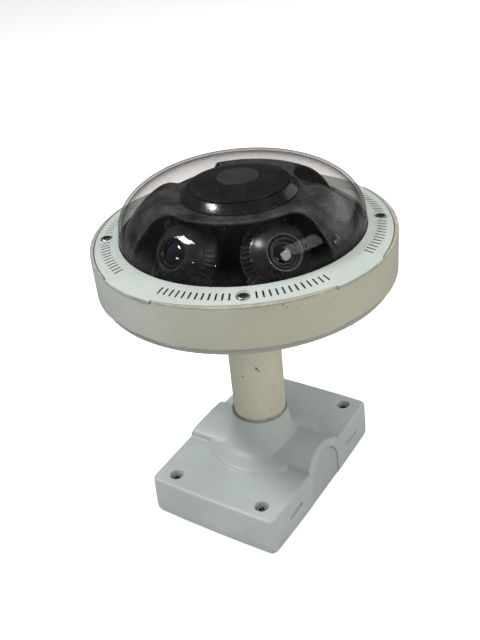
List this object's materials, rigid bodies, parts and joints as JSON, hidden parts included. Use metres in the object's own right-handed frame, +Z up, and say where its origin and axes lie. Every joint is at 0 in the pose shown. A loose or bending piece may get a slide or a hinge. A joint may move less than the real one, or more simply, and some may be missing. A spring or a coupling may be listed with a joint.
{
  "type": "multi-head dome camera",
  "caption": "Security camera: round drum with a clear dome over hand-aimed lens heads on a track, on a painted pipe standing on a long box base with conduit covers.",
  "frame": {"origin": "centre of the base's flat underside, on the pipe's axis", "axes": "+Z up the pipe towards the dome, Y along the base's long side, X across it"},
  "size_m": [0.2534, 0.2534, 0.3122],
  "materials": {
    "base_paint": "satin grey-green paint",
    "black_gloss": "gloss black",
    "black_satin": "satin black",
    "board": "circuit board",
    "cast_alloy": "cast, satin",
    "clear_dome": "clear moulded cover",
    "drum_paint": "satin paint, yellowed",
    "lens_glass": "coated lens",
    "pipe_paint": "satin paint, yellowed and chipped",
    "plate_metal": "satin grey paint",
    "ring_paint": "satin pale paint",
    "rubber": "matte",
    "steel": "bare steel",
    "zinc": "zinc plated"
  },
  "bodies": {
    "stand": {"base_housing": "base_paint", "mounting_plate": "zinc", "conduit_cover_right": "base_paint", "conduit_cover_left": "base_paint", "base_screw_1": "steel", "base_screw_2": "steel", "base_screw_3": "steel", "base_screw_4": "steel", "pipe_nut": "zinc", "pipe": "pipe_paint", "pendant_plate": "plate_metal", "seam_gasket": "rubber", "drum_skirt": "drum_paint", "chassis": "cast_alloy", "track_ring": "steel", "hub_post": "black_satin", "main_board": "board", "network_jack": "steel", "cable_gland": "rubber", "io_board": "board", "memory_card_slot": "steel", "shroud": "black_satin", "hub_cap": "black_gloss", "light_sensor": "lens_glass"},
    "cover": {"cover_ring": "ring_paint", "dome": "clear_dome", "dome_gasket": "rubber", "cover_screw_1": "steel", "cover_screw_2": "steel", "cover_screw_3": "steel", "cover_screw_4": "steel"},
    "button": {"control_button": "black_satin"},
    "carriage_1": {"carriage_1": "black_satin"},
    "cup_1": {"head_cup_1": "black_satin"},
    "ball_1": {"ball_shell_1": "black_satin"},
    "lens_1": {"grip_bezel_1": "black_satin", "lens_barrel_1": "black_gloss", "lens_glass_1": "lens_glass", "sensor_board_1": "board"},
    "carriage_2": {"carriage_2": "black_satin"},
    "cup_2": {"head_cup_2": "black_satin"},
    "ball_2": {"ball_shell_2": "black_satin"},
    "lens_2": {"grip_bezel_2": "black_satin", "lens_barrel_2": "black_gloss", "lens_glass_2": "lens_glass", "sensor_board_2": "board"},
    "carriage_3": {"carriage_3": "black_satin"},
    "cup_3": {"head_cup_3": "black_satin"},
    "ball_3": {"ball_shell_3": "black_satin"},
    "lens_3": {"grip_bezel_3": "black_satin", "lens_barrel_3": "black_gloss", "lens_glass_3": "lens_glass", "sensor_board_3": "board"},
    "carriage_4": {"carriage_4": "black_satin"},
    "cup_4": {"head_cup_4": "black_satin"},
    "ball_4": {"ball_shell_4": "black_satin"},
    "lens_4": {"grip_bezel_4": "black_satin", "lens_barrel_4": "black_gloss", "lens_glass_4": "lens_glass", "sensor_board_4": "board"}
  },
  "joints": [
    {"name": "cover_lift", "type": "slide", "parent": "stand", "child": "cover", "axis": [0, 0, 1], "range_m": [0, 0.06]},
    {"name": "control_button_press", "type": "slide", "parent": "stand", "child": "button", "axis": [0, 0, -1], "range_m": [0, 0.0005], "stiffness_N_per_m": 600, "springref_m": -0.001},
    {"name": "head_1_track", "type": "hinge", "parent": "stand", "child": "carriage_1", "pos_m": [0, 0, 0.2286], "axis": [0, 0, 1], "range_deg": [-3, 5]},
    {"name": "head_1_twist", "type": "hinge", "parent": "carriage_1", "child": "cup_1", "pos_m": [-0.01303, -0.06643, 0.2651], "axis": [0, 0, 1], "range_deg": [-24.7, 15.3]},
    {"name": "head_1_tilt", "type": "hinge", "parent": "cup_1", "child": "ball_1", "pos_m": [-0.01303, -0.06643, 0.2651], "axis": [-0.9938, 0.1115, 0], "range_deg": [-10.7, 59.3]},
    {"name": "head_1_rotate", "type": "hinge", "parent": "ball_1", "child": "lens_1", "pos_m": [-0.01303, -0.06643, 0.2651], "axis": [-0.0905, -0.807, 0.5835], "range_deg": [-5, 95]},
    {"name": "head_2_track", "type": "hinge", "parent": "stand", "child": "carriage_2", "pos_m": [0, 0, 0.2286], "axis": [0, 0, 1], "range_deg": [-5, 5]},
    {"name": "head_2_twist", "type": "hinge", "parent": "carriage_2", "child": "cup_2", "pos_m": [0.05599, -0.03805, 0.2651], "axis": [0, 0, 1], "range_deg": [-22.2, 17.8]},
    {"name": "head_2_tilt", "type": "hinge", "parent": "cup_2", "child": "ball_2", "pos_m": [0.05599, -0.03805, 0.2651], "axis": [-0.5299, -0.848, 0], "range_deg": [-9.9, 60.1]},
    {"name": "head_2_rotate", "type": "hinge", "parent": "ball_2", "child": "lens_2", "pos_m": [0.05599, -0.03805, 0.2651], "axis": [0.6955, -0.4346, 0.5721], "range_deg": [-5, 95]},
    {"name": "head_3_track", "type": "hinge", "parent": "stand", "child": "carriage_3", "pos_m": [0, 0, 0.2286], "axis": [0, 0, 1], "range_deg": [-2, 10]},
    {"name": "head_3_twist", "type": "hinge", "parent": "carriage_3", "child": "cup_3", "pos_m": [0.0487, 0.04703, 0.2651], "axis": [0, 0, 1], "range_deg": [-16, 24]},
    {"name": "head_3_tilt", "type": "hinge", "parent": "cup_3", "child": "ball_3", "pos_m": [0.0487, 0.04703, 0.2651], "axis": [0.6428, -0.766, 0], "range_deg": [-5, 65]},
    {"name": "head_3_rotate", "type": "hinge", "parent": "ball_3", "child": "lens_3", "pos_m": [0.0487, 0.04703, 0.2651], "axis": [0.6634, 0.5567, 0.5], "range_deg": [-5, 95]},
    {"name": "head_4_track", "type": "hinge", "parent": "stand", "child": "carriage_4", "pos_m": [0, 0, 0.2286], "axis": [0, 0, 1], "range_deg": [-10, 10]},
    {"name": "head_4_twist", "type": "hinge", "parent": "carriage_4", "child": "cup_4", "pos_m": [-0.06491, 0.01923, 0.2651], "axis": [0, 0, 1], "range_deg": [-37.5, 2.5]},
    {"name": "head_4_tilt", "type": "hinge", "parent": "cup_4", "child": "ball_4", "pos_m": [-0.06491, 0.01923, 0.2651], "axis": [-0.0175, 0.9998, 0], "range_deg": [-1, 69]},
    {"name": "head_4_rotate", "type": "hinge", "parent": "ball_4", "child": "lens_4", "pos_m": [-0.06491, 0.01923, 0.2651], "axis": [-0.8987, -0.0157, 0.4384], "range_deg": [-5, 95]}
  ]
}
